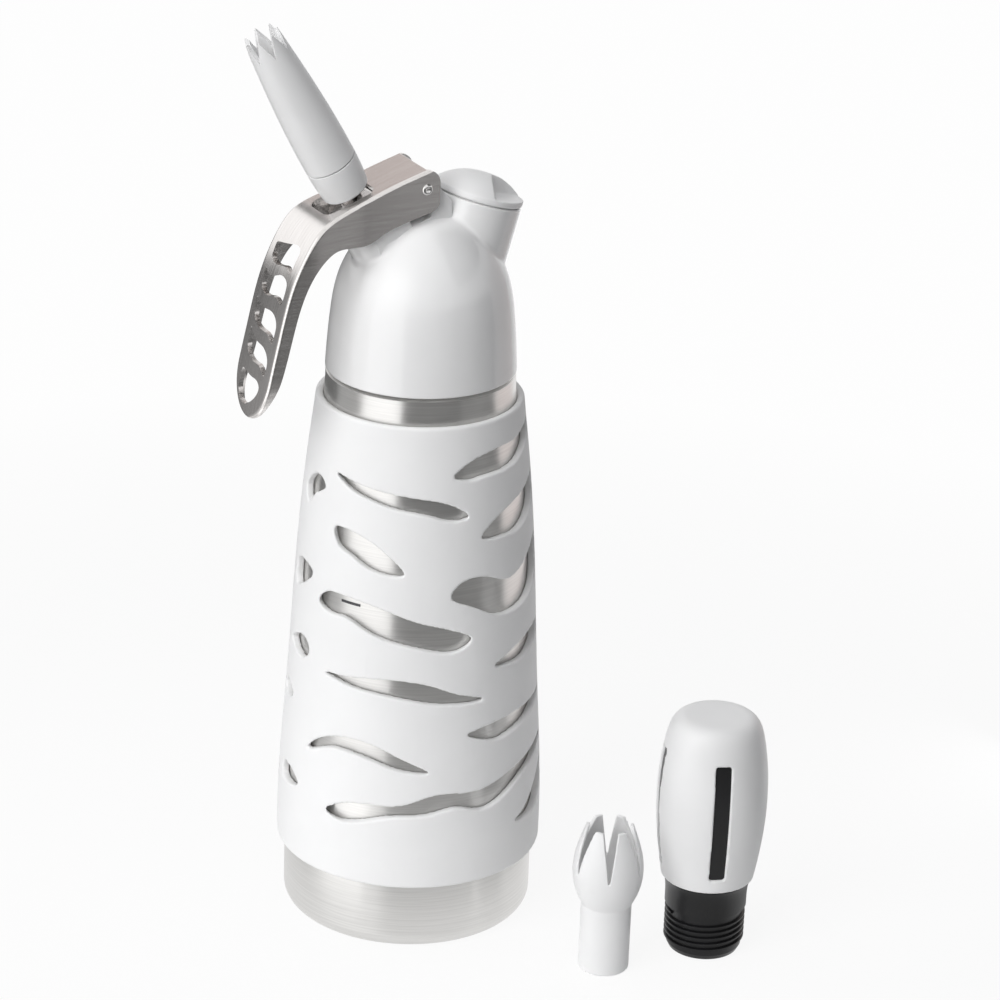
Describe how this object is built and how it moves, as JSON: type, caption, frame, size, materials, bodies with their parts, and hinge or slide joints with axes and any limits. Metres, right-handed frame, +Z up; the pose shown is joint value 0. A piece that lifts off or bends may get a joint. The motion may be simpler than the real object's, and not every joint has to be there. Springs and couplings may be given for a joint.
{
  "type": "whipped cream dispenser",
  "caption": "Steel flask in a striped grip sleeve, with a screw-on head, sprung lever valve, decorating tip and capped charger inlet. A charger holder and a spare tip stand beside it.",
  "frame": {"origin": "centre of the flask's standing base, on the table", "axes": "+Z up along the flask. -X is the side of the lever and the nozzle, +X the side of the charger inlet. The loose tip and the charger holder stand towards -Y."},
  "size_m": [0.149, 0.1308, 0.2964],
  "materials": {
    "brushed_steel": "fine circular brushing, polished neck",
    "lever_steel": "satin, brushed along the sheet",
    "polished_steel": "turned and polished",
    "white_enamel": "gloss enamel",
    "white_silicone": "matte moulded silicone",
    "white_plastic": "moulded, satin gloss",
    "black_plastic": "moulded, satin",
    "grey_print": "printed",
    "seal_rubber": "matte"
  },
  "bodies": {
    "flask": {"bottle": "brushed_steel", "sleeve": "white_silicone", "level_mark": "grey_print"},
    "gasket": {"head_gasket": "seal_rubber"},
    "head": {"head": "white_enamel", "valve_spring": "polished_steel", "piercing_pin": "polished_steel", "piercer_seal": "seal_rubber", "check_valve": "polished_steel", "check_valve_lip": "seal_rubber"},
    "lever": {"lever": "lever_steel", "lever_pin": "polished_steel"},
    "valve": {"valve_stem": "polished_steel", "valve_seal": "seal_rubber", "stem_oring_upper": "seal_rubber", "stem_oring_lower": "seal_rubber", "tip_adapter": "white_plastic"},
    "tip_ring": {"tip_seal": "seal_rubber"},
    "tip": {"star_tip": "white_plastic", "star_tip_insert": "polished_steel"},
    "cap_ring": {"cap_seal": "seal_rubber"},
    "cap": {"inlet_cap": "white_plastic"},
    "spare_tip": {"tulip_tip": "white_plastic", "tulip_tip_insert": "polished_steel"},
    "charger_holder": {"holder_shell": "white_plastic", "holder_core": "black_plastic"}
  },
  "joints": [
    {"name": "head_lift", "type": "slide", "parent": "flask", "child": "gasket", "axis": [0, 0, 1], "range_m": [0, 0.01601]},
    {"name": "head_turn", "type": "hinge", "parent": "gasket", "child": "head", "pos_m": [0, 0, 0.2], "axis": [0, 0, 1], "range_deg": [0, 1440]},
    {"name": "lever_swing", "type": "hinge", "parent": "head", "child": "lever", "pos_m": [-0.0047, 0, 0.2437], "axis": [0, -1, 0], "range_deg": [0, 9], "stiffness_Nm_per_rad": 2, "springref_deg": -11.46},
    {"name": "valve_press", "type": "slide", "parent": "head", "child": "valve", "axis": [0.4939, 0, -0.8695], "range_m": [0, 0.00241], "deforming": ["valve_spring"]},
    {"name": "tip_lift", "type": "slide", "parent": "valve", "child": "tip_ring", "axis": [-0.4939, 0, 0.8695], "range_m": [0, 0.00801]},
    {"name": "tip_turn", "type": "hinge", "parent": "tip_ring", "child": "tip", "pos_m": [-0.027, 0, 0.2432], "axis": [-0.4939, 0, 0.8695], "range_deg": [0, 1440]},
    {"name": "cap_lift", "type": "slide", "parent": "head", "child": "cap_ring", "axis": [0.2756, 0, 0.9613], "range_m": [0, 0.00801]},
    {"name": "cap_turn", "type": "hinge", "parent": "cap_ring", "child": "cap", "pos_m": [0.0178, 0, 0.236], "axis": [0.2756, 0, 0.9613], "range_deg": [0, 1440]},
    {"name": "spare_tip_lift", "type": "slide", "parent": "flask", "child": "spare_tip", "axis": [0, 0, 1], "range_m": [0, 0.06]},
    {"name": "holder_lift", "type": "slide", "parent": "flask", "child": "charger_holder", "axis": [0, 0, 1], "range_m": [0, 0.06]}
  ],
  "couplings": [
    {"joint": "head_lift", "follows": "head_turn", "m_per_rad": 0.00063662},
    {"joint": "valve_press", "follows": "lever_swing", "m_per_rad": 0.0153},
    {"joint": "tip_lift", "follows": "tip_turn", "m_per_rad": 0.00031831},
    {"joint": "cap_lift", "follows": "cap_turn", "m_per_rad": 0.00031831}
  ]
}
